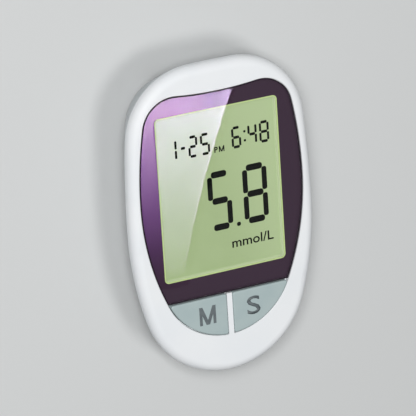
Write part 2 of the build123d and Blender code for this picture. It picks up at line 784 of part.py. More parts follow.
for side, name in ((-1, "negative"), (1, "positive")):
    with BuildPart() as contact:
        with BuildSketch(Plane.XY.offset(contact_z)):
            with Locations((side * cell_pitch / 2, bay_bottom_y + contact_gap)):
                Rectangle(contact_width, contact_thickness, align=(Align.CENTER, Align.MIN))
        extrude(amount=contact_height)
        with BuildSketch(Plane.XY.offset(contact_z)):
            with Locations((side * cell_pitch / 2, bay_bottom_y + contact_gap)):
                Rectangle(tail_width, contact_thickness, align=(Align.CENTER, Align.MIN))
        extrude(amount=board_top_z - contact_z)
    contact.part.label = f"{name}_contact"
    cell_parts[contact.part.label] = contact.part

with BuildPart() as cell_springs:
    for side in (-1, 1):
        base_y = bay_y + side * (bay_length / 2 - 2 * contact_gap - contact_thickness)
        coil_length = spring_length - 2 * (spring_wire + contact_gap)
        with BuildLine() as coil:
            Helix(coil_length / spring_turns, coil_length, spring_radius,
                  center=(side * cell_pitch / 2, base_y - side * spring_wire, cell_z),
                  direction=(0, -side, 0), cone_angle=-coil_lean)
        with BuildSketch(coil.line ^ 0):
            Circle(spring_wire)
        sweep(path=coil.line, is_frenet=True)
cell_springs.part.label = "cell_springs"

# ---- test strip port -----------------------------------------------------------------
with BuildPart() as strip_port_bezel:
    with BuildSketch(Plane.XZ.offset(-port_mouth_y)):
        with Locations((0, strip_z)):
            RectangleRounded(port_width, port_height, port_corner)
    extrude(amount=-port_depth)
    add(outer_tub, mode=Mode.INTERSECT)
    with BuildSketch(Plane.XZ.offset(-port_flange_y)):
        with Locations((0, strip_z + port_height / 2)):
            Rectangle(port_width + 2 * port_flange, port_height + port_flange,
                      align=(Align.CENTER, Align.MAX))
    extrude(amount=-port_flange_thickness)
    with BuildSketch(Plane.XZ.offset(-port_mouth_y)):
        with Locations((0, strip_z)):
            Rectangle(strip_slot_width, strip_slot_height)
    extrude(amount=-port_depth - port_flange_thickness, mode=Mode.SUBTRACT)
    with BuildSketch(Plane.XZ.offset(-port_face_y)):
        with Locations((0, strip_z)):
            Rectangle(strip_slot_width, strip_slot_height)
    with BuildSketch(Plane.XZ.offset(port_flare - port_face_y)):
        with Locations((0, strip_z)):
            Rectangle(strip_slot_width + 2 * port_flare, strip_slot_height + 2 * port_flare)
    loft(mode=Mode.SUBTRACT)
strip_port_bezel.part.label = "strip_port_bezel"

groove_y = strip_connector_y + port_flange
with BuildPart() as strip_connector:
    with BuildSketch(Plane.XY.offset(strip_connector_z)):
        with Locations((0, strip_connector_y)):
            Rectangle(strip_connector_width, strip_connector_length,
                      align=(Align.CENTER, Align.MIN))
    extrude(amount=board_z - strip_connector_z)
    with BuildSketch(Plane.XZ.offset(-strip_connector_y)):
        with Locations((0, strip_z)):
            Rectangle(strip_slot_width, strip_slot_height)
    extrude(amount=-strip_depth, mode=Mode.SUBTRACT)
    with BuildSketch(Plane.XY.offset(strip_z)):
        with Locations((0, groove_y)):
            with GridLocations(strip_contact_pitch, 0, strip_contact_count, 1):
                Rectangle(strip_contact_width + 2 * groove_gap, strip_connector_length,
                          align=(Align.CENTER, Align.MIN))
    extrude(amount=strip_slot_height / 2 + groove_depth, mode=Mode.SUBTRACT)
strip_connector.part.label = "strip_connector"

# leaf springs: a tail to the board behind the connector, a leaf that dips into the slot
leaf_z = strip_z + strip_slot_height / 2 + groove_depth - groove_gap
leaf_tail_y = strip_connector_y + strip_connector_length + groove_gap
leaf_dip_y = strip_connector_y + strip_depth / 2
leaf_tip_y = groove_y + groove_gap
with BuildPart() as strip_contacts:
    with BuildSketch(Plane.YZ.offset(-strip_contact_width / 2)) as leaf:
        with BuildLine():
            upper = Polyline(
                (leaf_tail_y + strip_contact_thickness, board_z),
                (leaf_tail_y + strip_contact_thickness, leaf_z - strip_contact_thickness),
                (leaf_dip_y + groove_depth, leaf_z - strip_contact_thickness),
                (leaf_dip_y, strip_z - strip_contact_thickness),
                (leaf_tip_y, leaf_z - 2 * strip_contact_thickness),
                (leaf_tip_y, leaf_z - strip_contact_thickness),
                (leaf_dip_y, strip_z),
                (leaf_dip_y + groove_depth, leaf_z),
                (leaf_tail_y, leaf_z),
                (leaf_tail_y, board_z),
                close=True)
        make_face()
    with GridLocations(strip_contact_pitch, 0, strip_contact_count, 1):
        add(extrude(leaf.sketch, amount=strip_contact_width, mode=Mode.PRIVATE))
strip_contacts.part.label = "strip_contacts"

# ---- screws and feet -----------------------------------------------------------------
with BuildPart() as case_screws:
    with BuildSketch(Plane.XY.offset(screw_seat_z)):
        with Locations(screw_places):
            Circle(screw_radius)
    extrude(amount=screw_length)
    chamfer(case_screws.faces().filter_by(Axis.Z).group_by(Axis.Z)[-1].edges(), screw_radius / 2)
    with BuildSketch(Plane.XY.offset(screw_seat_z)):
        with Locations(screw_places):
            Circle(screw_head_radius)
    extrude(amount=-screw_head_height)
    fillet(case_screws.faces().filter_by(Axis.Z).group_by(Axis.Z)[0].edges(),
           screw_head_height / 3)
    # cross recess
    with BuildSketch(Plane.XY.offset(screw_seat_z - screw_head_height)):
        with Locations(screw_places):
            Rectangle(2 * screw_radius, screw_head_height / 3)
            Rectangle(screw_head_height / 3, 2 * screw_radius)
    extrude(amount=screw_socket, mode=Mode.SUBTRACT)
case_screws.part.label = "case_screws"

with BuildPart() as rubber_feet:
    with BuildSketch():
        for y in foot_places_y:
            with Locations((-foot_x, y), (foot_x, y)):
                SlotOverall(foot_length, foot_width)
    extrude(amount=foot_stand + foot_recess)
    fillet(rubber_feet.faces().filter_by(Axis.Z).group_by(Axis.Z)[0].edges(), foot_edge)
rubber_feet.part.label = "rubber_feet"

# ---- write every sub-part ------------------------------------------------------------
pieces = [
    front_housing.part, rear_housing.part, battery_door.part, display_lens.part,
    lens_mask.part, lens_tape.part, *display_parts.values(), lcd_frame.part,
    lcd_connector.part, *key_parts.values(), main_board.part, microcontroller.part,
    memory_chip.part, crystal.part, buzzer.part, passives.part, *cell_parts.values(),
    bridge_contact.part, cell_springs.part, strip_port_bezel.part, strip_connector.part,
    strip_contacts.part, case_screws.part, rubber_feet.part,
]
os.makedirs("parts", exist_ok=True)
for piece in pieces:
    export_step(piece, f"parts/{piece.label}.step")
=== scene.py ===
from math import radians

import bpy
from mathutils import Matrix, Vector


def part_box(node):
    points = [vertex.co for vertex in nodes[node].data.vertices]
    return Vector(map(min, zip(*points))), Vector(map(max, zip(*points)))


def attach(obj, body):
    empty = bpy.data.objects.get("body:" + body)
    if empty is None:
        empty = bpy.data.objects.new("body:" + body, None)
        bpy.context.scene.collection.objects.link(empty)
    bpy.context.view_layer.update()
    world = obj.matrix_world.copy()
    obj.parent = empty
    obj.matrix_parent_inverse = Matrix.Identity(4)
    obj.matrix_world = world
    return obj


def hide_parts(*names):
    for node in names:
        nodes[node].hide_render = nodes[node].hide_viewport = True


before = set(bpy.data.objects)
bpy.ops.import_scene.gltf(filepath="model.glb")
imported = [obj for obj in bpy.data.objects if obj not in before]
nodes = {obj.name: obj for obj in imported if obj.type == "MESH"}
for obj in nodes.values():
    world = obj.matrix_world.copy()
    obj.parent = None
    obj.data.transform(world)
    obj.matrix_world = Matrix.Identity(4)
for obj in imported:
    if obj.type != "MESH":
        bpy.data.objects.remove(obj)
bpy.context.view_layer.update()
print("frame loaded:", len(nodes), "nodes")


# small helpers
def mm(*values):
    scaled = [value / 1000 for value in values]
    return scaled[0] if len(scaled) == 1 else tuple(scaled)


def linear(red, green, blue):  # from the 0-255 values of a colour picker
    def curve(value):
        value /= 255
        return value / 12.92 if value <= 0.04045 else ((value + 0.055) / 1.055) ** 2.4
    return (curve(red), curve(green), curve(blue), 1.0)


def selectOnly(*objects):
    for other in bpy.context.selected_objects:
        other.select_set(False)
    for chosen in objects:
        chosen.select_set(True)
    bpy.context.view_layer.objects.active = objects[0]


def applyPlace(piece):
    selectOnly(piece)
    bpy.ops.object.transform_apply(location=True, rotation=True, scale=True)


def joinPieces(name, parts):
    selectOnly(*parts)
    if len(parts) > 1:
        bpy.ops.object.join()
    joined = bpy.context.view_layer.objects.active
    joined.name = name
    joined.data.name = name
    applyPlace(joined)
    return joined


def copyPiece(piece, place):  # place is a 4x4 matrix for the new mesh
    twin = piece.copy()
    twin.data = piece.data.copy()
    twin.data.transform(place)
    bpy.context.scene.collection.objects.link(twin)
    return twin


def thicken(thickness):  # makes a flat shape in edit mode solid, upwards, in millimetres
    bpy.ops.mesh.extrude_region_move(TRANSFORM_OT_translate={"value": (0, 0, mm(thickness))})
    bpy.ops.mesh.select_all(action="SELECT")
    bpy.ops.mesh.normals_make_consistent(inside=False)


# shader node helpers
def addNode(tree, kind, values=None, **settings):
    node = tree.nodes.new(kind)
    for name, setting in settings.items():
        setattr(node, name, setting)
    for name, value in (values or {}).items():
        if isinstance(value, bpy.types.NodeSocket):
            tree.links.new(value, node.inputs[name])
        else:
            node.inputs[name].default_value = value
    return node


def calculate(tree, operation, first, second=0.0):
    return addNode(tree, "ShaderNodeMath", {0: first, 1: second},
                   operation=operation).outputs[0]


def remap(tree, value, low, high, newLow=0.0, newHigh=1.0):  # with soft ends
    return addNode(tree, "ShaderNodeMapRange",
                   {0: value, 1: low, 2: high, 3: newLow, 4: newHigh},
                   interpolation_type="SMOOTHSTEP").outputs[0]


def blendColours(tree, factor, first, second):
    return addNode(tree, "ShaderNodeMix", {0: factor, 6: first, 7: second},
                   data_type="RGBA").outputs[2]


def objectCoordinates(tree):
    return addNode(tree, "ShaderNodeTexCoord").outputs["Object"]


def axes(tree):
    return addNode(tree, "ShaderNodeSeparateXYZ", {0: objectCoordinates(tree)}).outputs


def noise(tree, size, detail=2.0, stretch=None):  # size in millimetres
    place = objectCoordinates(tree)
    if stretch:
        place = addNode(tree, "ShaderNodeMapping", {"Vector": place, "Scale": stretch}).outputs[0]
    scale = calculate(tree, "DIVIDE", 1000.0, size)
    return addNode(tree, "ShaderNodeTexNoise",
                   {"Vector": place, "Scale": scale, "Detail": detail}).outputs[0]


def beyondBox(tree, x, y, box):  # distance out of a box whose corners are rounded off
    across, along = (calculate(tree, "MAXIMUM", calculate(
        tree, "SUBTRACT", calculate(tree, "ABSOLUTE", position), mm(half - box["corner"])))
        for position, half in ((x, box["halfWidth"]),
                               (calculate(tree, "SUBTRACT", y, mm(box["middle"])),
                                box["halfLength"])))
    away = calculate(tree, "SQRT", calculate(
        tree, "ADD", calculate(tree, "MULTIPLY", across, across),
        calculate(tree, "MULTIPLY", along, along)))
    return calculate(tree, "SUBTRACT", away, mm(box["corner"]))


def newGroup(name, inputs, outputs):
    group = bpy.data.node_groups.new(name, "ShaderNodeTree")
    for label, kind, value in inputs:
        group.interface.new_socket(label, in_out="INPUT",
                                   socket_type="NodeSocket" + kind).default_value = value
    for label, kind in outputs:
        group.interface.new_socket(label, in_out="OUTPUT", socket_type="NodeSocket" + kind)
    return group, group.nodes.new("NodeGroupInput"), group.nodes.new("NodeGroupOutput")


fineBand = (0.3, 0.7)  # the values that most of a fine noise takes

# moulded plastic or rubber: spark-eroded grain, a faint mottle and handling marks
moulding = {"mottleBand": (0.35, 0.7), "markSize": 5.0, "markStretch": (1.0, 0.45, 1.0),
            "markBand": (0.45, 0.75)}
mouldedGrain, enter, leave = newGroup(
    "mouldedGrain",
    [("Colour", "Color", (0.8, 0.8, 0.8, 1)), ("Deep Colour", "Color", (0.7, 0.7, 0.7, 1)),
     ("Grain Size", "Float", 0.3), ("Mottle Size", "Float", 12.0),
     ("Roughness", "Float", 0.4), ("Handling", "Float", 0.06)],
    [("Colour", "Color"), ("Roughness", "Float"), ("Height", "Float")])
mottle = remap(mouldedGrain, noise(mouldedGrain, enter.outputs["Mottle Size"], detail=3.0),
               *moulding["mottleBand"])
marks = remap(mouldedGrain, noise(mouldedGrain, moulding["markSize"], detail=5.0,
                                  stretch=moulding["markStretch"]), *moulding["markBand"])
grain = noise(mouldedGrain, enter.outputs["Grain Size"], detail=3.0)
mouldedGrain.links.new(
    blendColours(mouldedGrain, mottle, enter.outputs["Colour"], enter.outputs["Deep Colour"]),
    leave.inputs["Colour"])
mouldedGrain.links.new(
    calculate(mouldedGrain, "ADD", enter.outputs["Roughness"],
              calculate(mouldedGrain, "MULTIPLY", marks, enter.outputs["Handling"])),
    leave.inputs["Roughness"])
mouldedGrain.links.new(grain, leave.inputs["Height"])

# drawn or plated metal: fine lines along the piece and patches of tarnish
plating = {"lineStretch": (1.0, 0.08, 1.0), "lineRoughness": 0.18, "lineDepth": 0.004,
           "tarnishSize": 3.0, "tarnishBand": (0.5, 0.8)}
platedMetal, enter, leave = newGroup(
    "platedMetal",
    [("Colour", "Color", (0.7, 0.7, 0.7, 1)), ("Tarnish", "Color", (0.5, 0.48, 0.45, 1)),
     ("Line Size", "Float", 0.2), ("Roughness", "Float", 0.25)],
    [("Colour", "Color"), ("Roughness", "Float"), ("Height", "Float")])
lines = noise(platedMetal, enter.outputs["Line Size"], stretch=plating["lineStretch"])
tarnish = remap(platedMetal, noise(platedMetal, plating["tarnishSize"], detail=4.0),
                *plating["tarnishBand"])
platedMetal.links.new(
    blendColours(platedMetal, tarnish, enter.outputs["Colour"], enter.outputs["Tarnish"]),
    leave.inputs["Colour"])
platedMetal.links.new(
    calculate(platedMetal, "ADD", enter.outputs["Roughness"],
              calculate(platedMetal, "MULTIPLY", lines, plating["lineRoughness"])),
    leave.inputs["Roughness"])
platedMetal.links.new(lines, leave.inputs["Height"])


def newMaterial(name):
    material = bpy.data.materials.new(name)
    material.use_nodes = True
    tree = material.node_tree
    return material, tree, tree.nodes["Principled BSDF"]


def bumpInto(tree, shader, height, depth):  # depth in millimetres
    bump = addNode(tree, "ShaderNodeBump", {"Height": height, "Distance": mm(depth)})
    tree.links.new(bump.outputs[0], shader.inputs["Normal"])


def seeThrough(tree, shader, shown):  # shown is 0 where the surface isn't there to be seen
    both = addNode(tree, "ShaderNodeMixShader", {0: shown})
    tree.links.new(addNode(tree, "ShaderNodeBsdfTransparent").outputs[0], both.inputs[1])
    tree.links.new(shader.outputs[0], both.inputs[2])
    tree.links.new(both.outputs[0], tree.nodes["Material Output"].inputs["Surface"])


def mouldedMaterial(name, look):
    material, tree, shader = newMaterial(name)
    surface = addNode(tree, "ShaderNodeGroup", node_tree=mouldedGrain)
    for socket in ("Colour", "Deep Colour", "Grain Size", "Mottle Size", "Roughness", "Handling"):
        if socket in look:
            surface.inputs[socket].default_value = look[socket]
    tree.links.new(surface.outputs["Colour"], shader.inputs["Base Color"])
    tree.links.new(surface.outputs["Roughness"], shader.inputs["Roughness"])
    shader.inputs["Specular IOR Level"].default_value = look.get("Specular", 0.5)
    bumpInto(tree, shader, surface.outputs["Height"], look["Grain Depth"])
    return material


def metalMaterial(name, look):
    material, tree, shader = newMaterial(name)
    surface = addNode(tree, "ShaderNodeGroup", node_tree=platedMetal)
    for socket in ("Colour", "Tarnish", "Line Size", "Roughness"):
        surface.inputs[socket].default_value = look[socket]
    tree.links.new(surface.outputs["Colour"], shader.inputs["Base Color"])
    tree.links.new(surface.outputs["Roughness"], shader.inputs["Roughness"])
    shader.inputs["Metallic"].default_value = 1.0
    bumpInto(tree, shader, surface.outputs["Height"], plating["lineDepth"])
    return material


# plain finishes, one dictionary for each
mouldedLooks = {
    "whiteShell": {"Colour": linear(236, 238, 240), "Deep Colour": linear(232, 235, 238),
                   "Grain Size": 0.25, "Grain Depth": 0.003, "Mottle Size": 18.0,
                   "Roughness": 0.5, "Handling": 0.05, "Specular": 0.25},
    "greyBack": {"Colour": linear(206, 210, 213), "Deep Colour": linear(200, 205, 208),
                 "Grain Size": 0.22, "Grain Depth": 0.012, "Mottle Size": 15.0,
                 "Roughness": 0.45, "Handling": 0.08, "Specular": 0.4},
    "keyGrey": {"Colour": linear(172, 187, 187), "Deep Colour": linear(167, 183, 184),
                "Grain Size": 0.2, "Grain Depth": 0.006, "Mottle Size": 6.0,
                "Roughness": 0.45, "Handling": 0.08},
    "legendGrey": {"Colour": linear(102, 110, 113), "Deep Colour": linear(92, 100, 104),
                   "Grain Size": 0.15, "Grain Depth": 0.003, "Mottle Size": 1.5,
                   "Roughness": 0.5, "Handling": 0.05},
    "portGrey": {"Colour": linear(150, 162, 165), "Deep Colour": linear(142, 154, 158),
                 "Grain Size": 0.2, "Grain Depth": 0.006, "Roughness": 0.42, "Handling": 0.06},
    "blackPlastic": {"Colour": linear(32, 33, 35), "Deep Colour": linear(40, 41, 43),
                     "Grain Size": 0.18, "Grain Depth": 0.008, "Roughness": 0.5,
                     "Handling": 0.1},
    "footRubber": {"Colour": linear(92, 96, 99), "Deep Colour": linear(80, 84, 87),
                   "Grain Size": 0.3, "Grain Depth": 0.02, "Mottle Size": 2.5,
                   "Roughness": 0.75, "Handling": 0.12},
    "tapeFoam": {"Colour": linear(38, 38, 40), "Deep Colour": linear(28, 28, 30),
                 "Grain Size": 0.12, "Grain Depth": 0.03, "Roughness": 0.85, "Handling": 0.0},
    "chipResin": {"Colour": linear(30, 31, 32), "Deep Colour": linear(38, 39, 40),
                  "Grain Size": 0.08, "Grain Depth": 0.006, "Mottle Size": 3.0,
                  "Roughness": 0.55, "Handling": 0.05},
    "chipCeramic": {"Colour": linear(168, 144, 108), "Deep Colour": linear(150, 128, 96),
                    "Grain Size": 0.1, "Grain Depth": 0.004, "Mottle Size": 0.8,
                    "Roughness": 0.5, "Handling": 0.0},
    # painted shade for the gap round the window, on the lens plate's bevelled edge
    "lensGapShade": {"Colour": linear(46, 32, 46), "Deep Colour": linear(38, 27, 38),
                 "Grain Size": 0.1, "Grain Depth": 0.001, "Mottle Size": 4.0,
                 "Roughness": 0.3, "Handling": 0.05, "Specular": 0.2},
    "segmentBlack": {"Colour": linear(8, 10, 8), "Deep Colour": linear(14, 17, 13),
                     "Grain Size": 0.1, "Grain Depth": 0.001, "Mottle Size": 2.0,
                     "Roughness": 0.6, "Handling": 0.0, "Specular": 0.05},
}
metalLooks = {
    "nickel": {"Colour": linear(205, 202, 196), "Tarnish": linear(180, 174, 163),
               "Line Size": 0.25, "Roughness": 0.2},
    "screwSteel": {"Colour": linear(188, 190, 192), "Tarnish": linear(150, 150, 150),
                   "Line Size": 0.12, "Roughness": 0.28},
    "gold": {"Colour": linear(230, 190, 110), "Tarnish": linear(205, 165, 95),
             "Line Size": 0.15, "Roughness": 0.22},
}
finishes = {name: mouldedMaterial(name, look) for name, look in mouldedLooks.items()}
finishes.update({name: metalMaterial(name, look) for name, look in metalLooks.items()})


# printed mask behind the lens
clearArea = {"halfWidth": 19.5, "halfLength": 25.25, "middle": 8.75, "corner": 1.0}
mask = {"plum": linear(62, 46, 61), "purple": linear(126, 78, 148),
        "purpleFrom": 4.0, "purpleTo": -14.0, "fadeBottom": -20.0, "fadeTop": 28.0,
        "rimLine": linear(196, 216, 150), "rimWidth": 0.4, "dotSize": 0.12,
        "roughness": (0.008, 0.014), "specular": 0.1}


def maskMaterial():
    material, tree, shader = newMaterial("maskPrint")
    x, y = axes(tree)[:2]
    # purple at the upper left
    leftSide = remap(tree, x, mm(mask["purpleFrom"]), mm(mask["purpleTo"]))
    high = remap(tree, y, mm(mask["fadeBottom"]), mm(mask["fadeTop"]))
    tint = calculate(tree, "MULTIPLY", leftSide, high)
    ink = blendColours(tree, tint, mask["plum"], mask["purple"])
    # thin line round the clear area, with its rounded corners
    rim = calculate(tree, "LESS_THAN", beyondBox(tree, x, y, clearArea), mm(mask["rimWidth"]))
    tree.links.new(blendColours(tree, rim, ink, mask["rimLine"]), shader.inputs["Base Color"])
    # dots of the screen print
    dots = noise(tree, mask["dotSize"], detail=1.0)
    tree.links.new(remap(tree, dots, *fineBand, *mask["roughness"]), shader.inputs["Roughness"])
    shader.inputs["Specular IOR Level"].default_value = mask["specular"]  # the lens covers it
    return material


finishes["maskPrint"] = maskMaterial()


# liquid crystal display
display = {"green": linear(169, 188, 141), "paleGreen": linear(182, 200, 155),
           "paleAcross": 0.8, "paleAlong": 0.2, "paleFrom": -4.0, "paleTo": 18.0,
           "cloudSize": 9.0, "cloudBand": (0.4, 0.7), "cloudDepth": 0.2,
           # the edge colour and its width are painted light, set against the shade under the
           # mask's edge
           "shadeLiftGreen": linear(226, 240, 200), "shadeLiftWidth": 0.5, "sparkleSize": 0.1,
           "roughness": (0.008, 0.014), "specular": 0.1}


def displayMaterial():
    material, tree, shader = newMaterial("displayGreen")
    x, y = axes(tree)[:2]
    # paler to the right and a little towards the top, with faint clouds
    slope = calculate(tree, "ADD", calculate(tree, "MULTIPLY", x, display["paleAcross"]),
                      calculate(tree, "MULTIPLY", y, display["paleAlong"]))
    shade = remap(tree, slope, mm(display["paleFrom"]), mm(display["paleTo"]))
    cloud = remap(tree, noise(tree, display["cloudSize"]), *display["cloudBand"],
                  0.0, display["cloudDepth"])
    colour = blendColours(tree, calculate(tree, "MAXIMUM", shade, cloud),
                          display["green"], display["paleGreen"])
    # painted light: paler where the mask's edge shades the display, to offset that shade
    edge = remap(tree, beyondBox(tree, x, y, clearArea), -mm(display["shadeLiftWidth"]),
                 mm(display["shadeLiftWidth"]))
    tree.links.new(blendColours(tree, edge, colour, display["shadeLiftGreen"]),
                   shader.inputs["Base Color"])
    sparkle = noise(tree, display["sparkleSize"], detail=1.0)
    tree.links.new(remap(tree, sparkle, *fineBand, *display["roughness"]),
                   shader.inputs["Roughness"])
    shader.inputs["Specular IOR Level"].default_value = display["specular"]
    return material


finishes["displayGreen"] = displayMaterial()


# the display's elastomer connector: thin layers that carry current and layers that don't
zebra = {"plain": linear(230, 190, 190), "carbon": linear(30, 28, 30), "pitch": 0.36,
         "grainSize": 0.4, "roughness": (0.6, 0.7)}


def zebraMaterial():
    material, tree, shader = newMaterial("zebraRubber")
    wave = calculate(tree, "FRACT", calculate(tree, "DIVIDE", axes(tree)[0], mm(zebra["pitch"])))
    stripe = calculate(tree, "GREATER_THAN", wave, 0.5)
    tree.links.new(blendColours(tree, stripe, zebra["plain"], zebra["carbon"]),
                   shader.inputs["Base Color"])
    tree.links.new(remap(tree, noise(tree, zebra["grainSize"]), *fineBand, *zebra["roughness"]),
                   shader.inputs["Roughness"])
    return material


finishes["zebraRubber"] = zebraMaterial()


# display glass and reflector foil, seen at their edges only
glass = {"clear": linear(214, 224, 206), "foil": linear(190, 196, 182),
         "tint": linear(200, 214, 194), "tintSize": 6.0, "smearSize": 2.0,
         "smearBand": (0.4, 0.8), "roughness": (0.04, 0.1)}


def glassMaterial(name, colour):
    material, tree, shader = newMaterial(name)
    tree.links.new(blendColours(tree, noise(tree, glass["tintSize"]), colour, glass["tint"]),
                   shader.inputs["Base Color"])
    tree.links.new(remap(tree, noise(tree, glass["smearSize"], detail=4.0), *glass["smearBand"],
                         *glass["roughness"]), shader.inputs["Roughness"])
    return material


finishes["displayGlass"] = glassMaterial("displayGlass", glass["clear"])
finishes["reflectorFoil"] = glassMaterial("reflectorFoil", glass["foil"])


# circuit board
board = {"mask": linear(28, 92, 58), "trace": linear(44, 118, 76), "pitch": 1.2,
         "traceBand": (0.3, 0.42), "traceHeight": 0.02, "roughness": (0.3, 0.4)}


def boardMaterial():
    material, tree, shader = newMaterial("boardGreen")
    cells = addNode(tree, "ShaderNodeTexVoronoi",
                    {"Vector": objectCoordinates(tree), "Scale": 1 / mm(board["pitch"])},
                    distance="CHEBYCHEV", feature="F1")
    trace = remap(tree, cells.outputs["Distance"], *board["traceBand"])
    tree.links.new(blendColours(tree, trace, board["mask"], board["trace"]),
                   shader.inputs["Base Color"])
    tree.links.new(remap(tree, trace, 0.0, 1.0, *board["roughness"]), shader.inputs["Roughness"])
    bumpInto(tree, shader, trace, board["traceHeight"])
    return material


finishes["boardGreen"] = boardMaterial()


# battery cells
cell = {"wrap": linear(38, 52, 84), "band": linear(196, 152, 92), "steel": linear(200, 202, 204),
        "middle": 2.0, "halfLength": 22.25, "collar": 1.1, "bandFrom": 12.0,
        "scuffSize": 1.2, "scuffStretch": (0.5, 1.0, 1.0), "scuffBand": (0.3, 0.8),
        "scuffDepth": 0.01, "roughness": (0.18, 0.4)}


def cellMaterial():
    material, tree, shader = newMaterial("cellWrap")
    x, y = axes(tree)[:2]
    # the left cell points up the case, the right one down it
    upwards = calculate(tree, "MULTIPLY", calculate(tree, "SIGN", x),
                        calculate(tree, "SUBTRACT", mm(cell["middle"]), y))
    band = calculate(tree, "GREATER_THAN", upwards, mm(cell["bandFrom"]))
    farFromMiddle = calculate(tree, "ABSOLUTE", upwards)
    bare = calculate(tree, "GREATER_THAN", farFromMiddle,
                     mm(cell["halfLength"] - cell["collar"]))
    wrap = blendColours(tree, band, cell["wrap"], cell["band"])
    tree.links.new(blendColours(tree, bare, wrap, cell["steel"]), shader.inputs["Base Color"])
    tree.links.new(bare, shader.inputs["Metallic"])
    scuffs = noise(tree, cell["scuffSize"], detail=5.0, stretch=cell["scuffStretch"])
    tree.links.new(remap(tree, scuffs, *cell["scuffBand"], *cell["roughness"]),
                   shader.inputs["Roughness"])
    bumpInto(tree, shader, scuffs, cell["scuffDepth"])
    return material


finishes["cellWrap"] = cellMaterial()
print("finishes made:", len(finishes))


# finish of every node
nodeFinish = {
    "front_housing": "whiteShell", "rear_housing": "greyBack", "battery_door": "greyBack",
    "lens_mask": "maskPrint", "lens_tape": "tapeFoam", "front_polariser": "displayGreen",
    "lcd_front_glass": "displayGlass", "lcd_rear_glass": "displayGlass",
    "rear_reflector": "reflectorFoil", "lcd_frame": "blackPlastic",
    "lcd_connector": "zebraRubber", "left_button": "keyGrey", "right_button": "keyGrey",
    "left_switch_case": "blackPlastic", "right_switch_case": "blackPlastic",
    "left_switch_plunger": "blackPlastic", "right_switch_plunger": "blackPlastic",
    "main_board": "boardGreen", "microcontroller": "chipResin", "memory_chip": "chipResin",
    "crystal": "nickel", "buzzer": "blackPlastic", "passives": "chipCeramic",
    "left_battery": "cellWrap", "right_battery": "cellWrap", "bridge_contact": "nickel",
    "negative_contact": "nickel", "positive_contact": "nickel", "cell_springs": "nickel",
    "strip_port_bezel": "portGrey", "strip_connector": "blackPlastic",
    "strip_contacts": "gold", "case_screws": "screwSteel", "rubber_feet": "footRubber",
}
for name, finish in nodeFinish.items():
    nodes[name].data.materials.clear()
    nodes[name].data.materials.append(finishes[finish])
print("nodes finished:", len(nodeFinish))


# display lens: a clear plate that mirrors on its face, with its edge coloured dark as painted
# shade for the gap round the window; a face counts as flat where its normal's height is past
# level
lens = {"ior": 1.49, "roughness": (0.015, 0.03), "hazeSize": 2.5,
        "hazeStretch": (1.0, 0.3, 1.0), "hazeBand": (0.5, 0.85), "weld": 0.001,
        "film": 0.02, "paintedShadeEdge": 0.12, "smoothUnder": 20, "level": 0.99}


def lensMaterial():
    material, tree, shader = newMaterial("lensPlastic")
    shader.inputs["Base Color"].default_value = (1, 1, 1, 1)
    shader.inputs["Metallic"].default_value = 1.0
    haze = noise(tree, lens["hazeSize"], detail=5.0, stretch=lens["hazeStretch"])
    tree.links.new(remap(tree, haze, *lens["hazeBand"], *lens["roughness"]),
                   shader.inputs["Roughness"])
    gloss = addNode(tree, "ShaderNodeFresnel", {"IOR": lens["ior"]}).outputs[0]
    outside = calculate(tree, "SUBTRACT", 1.0,
                        addNode(tree, "ShaderNodeNewGeometry").outputs["Backfacing"])
    seeThrough(tree, shader, calculate(tree, "MULTIPLY", gloss, outside))
    return material


lensPlate = nodes["display_lens"].copy()
lensPlate.data = lensPlate.data.copy()
lensPlate.name = lensPlate.data.name = "lensPlate"
for key in list(lensPlate.keys()):  # the copy isn't a node
    del lensPlate[key]
lensPlate.parent = None
bpy.context.scene.collection.objects.link(lensPlate)
selectOnly(lensPlate)
bpy.ops.object.mode_set(mode="EDIT")
bpy.ops.mesh.select_all(action="SELECT")
bpy.ops.mesh.remove_doubles(threshold=mm(lens["weld"]))
bpy.ops.mesh.select_all(action="DESELECT")
bpy.ops.object.mode_set(mode="OBJECT")
bpy.ops.mesh.customdata_custom_splitnormals_clear()
lensBottom, lensTop = (corner.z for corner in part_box("display_lens"))
for vertex in lensPlate.data.vertices:  # the print is a film's thickness under the plate
    vertex.select = vertex.co.z < lensBottom + mm(lens["film"]) / 2
bpy.ops.object.mode_set(mode="EDIT")
bpy.ops.transform.translate(value=(0, 0, mm(lens["film"])))
bpy.ops.mesh.select_all(action="DESELECT")
bpy.ops.object.mode_set(mode="OBJECT")
for face in lensPlate.data.polygons:
    face.select = face.normal.z > lens["level"]
bpy.ops.object.mode_set(mode="EDIT")
bpy.ops.mesh.inset(thickness=mm(lens["paintedShadeEdge"]))
bpy.ops.object.mode_set(mode="OBJECT")
bpy.ops.object.shade_smooth_by_angle(angle=radians(lens["smoothUnder"]))
lensPlate.data.materials.clear()
lensPlate.data.materials.append(lensMaterial())
lensPlate.data.materials.append(finishes["lensGapShade"])
for face in lensPlate.data.polygons:  # painted shade: the bevelled edge and a thin band inside it are coloured dark, standing for the shaded gap round the window
    face.material_index = 0 if face.select or face.normal.z < -lens["level"] else 1
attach(lensPlate, "case")
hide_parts("display_lens")
print("lens made")


# figures on the display: each figure has its left side and width, each dot its middle,
# length across and length up
figures = {"height": 19.46, "thickness": 0.02, "lean": 0.82, "gap": 0.26, "rounding": 0.4}
smallRow = {"bottom": 19.9, "tall": 6.8, "stroke": 0.86,
            "figures": [("1", -15.7, 3.1), ("2", -8.9, 3.0), ("5", -5.0, 3.1),
                        ("6", 5.2, 3.1), ("4", 10.5, 3.0), ("8", 14.3, 3.2)],
            "dots": [(-10.6, 23.4, 1.4, 0.86), (9.5, 21.8, 0.75, 0.75),
                     (9.5, 24.6, 0.75, 0.75)]}
bigRow = {"bottom": -4.4, "tall": 18.5, "stroke": 2.0,
          "figures": [("5", -3.6, 7.7), ("8", 7.9, 8.0)], "dots": [(5.9, -3.7, 1.3, 1.3)]}
segmentsOf = {"1": "bc", "2": "abged", "4": "fgbc", "5": "afgcd", "6": "afgecd", "8": "abcdefg"}
lettering = {"size": 10.0, "curveSteps": 4, "weld": 0.005}


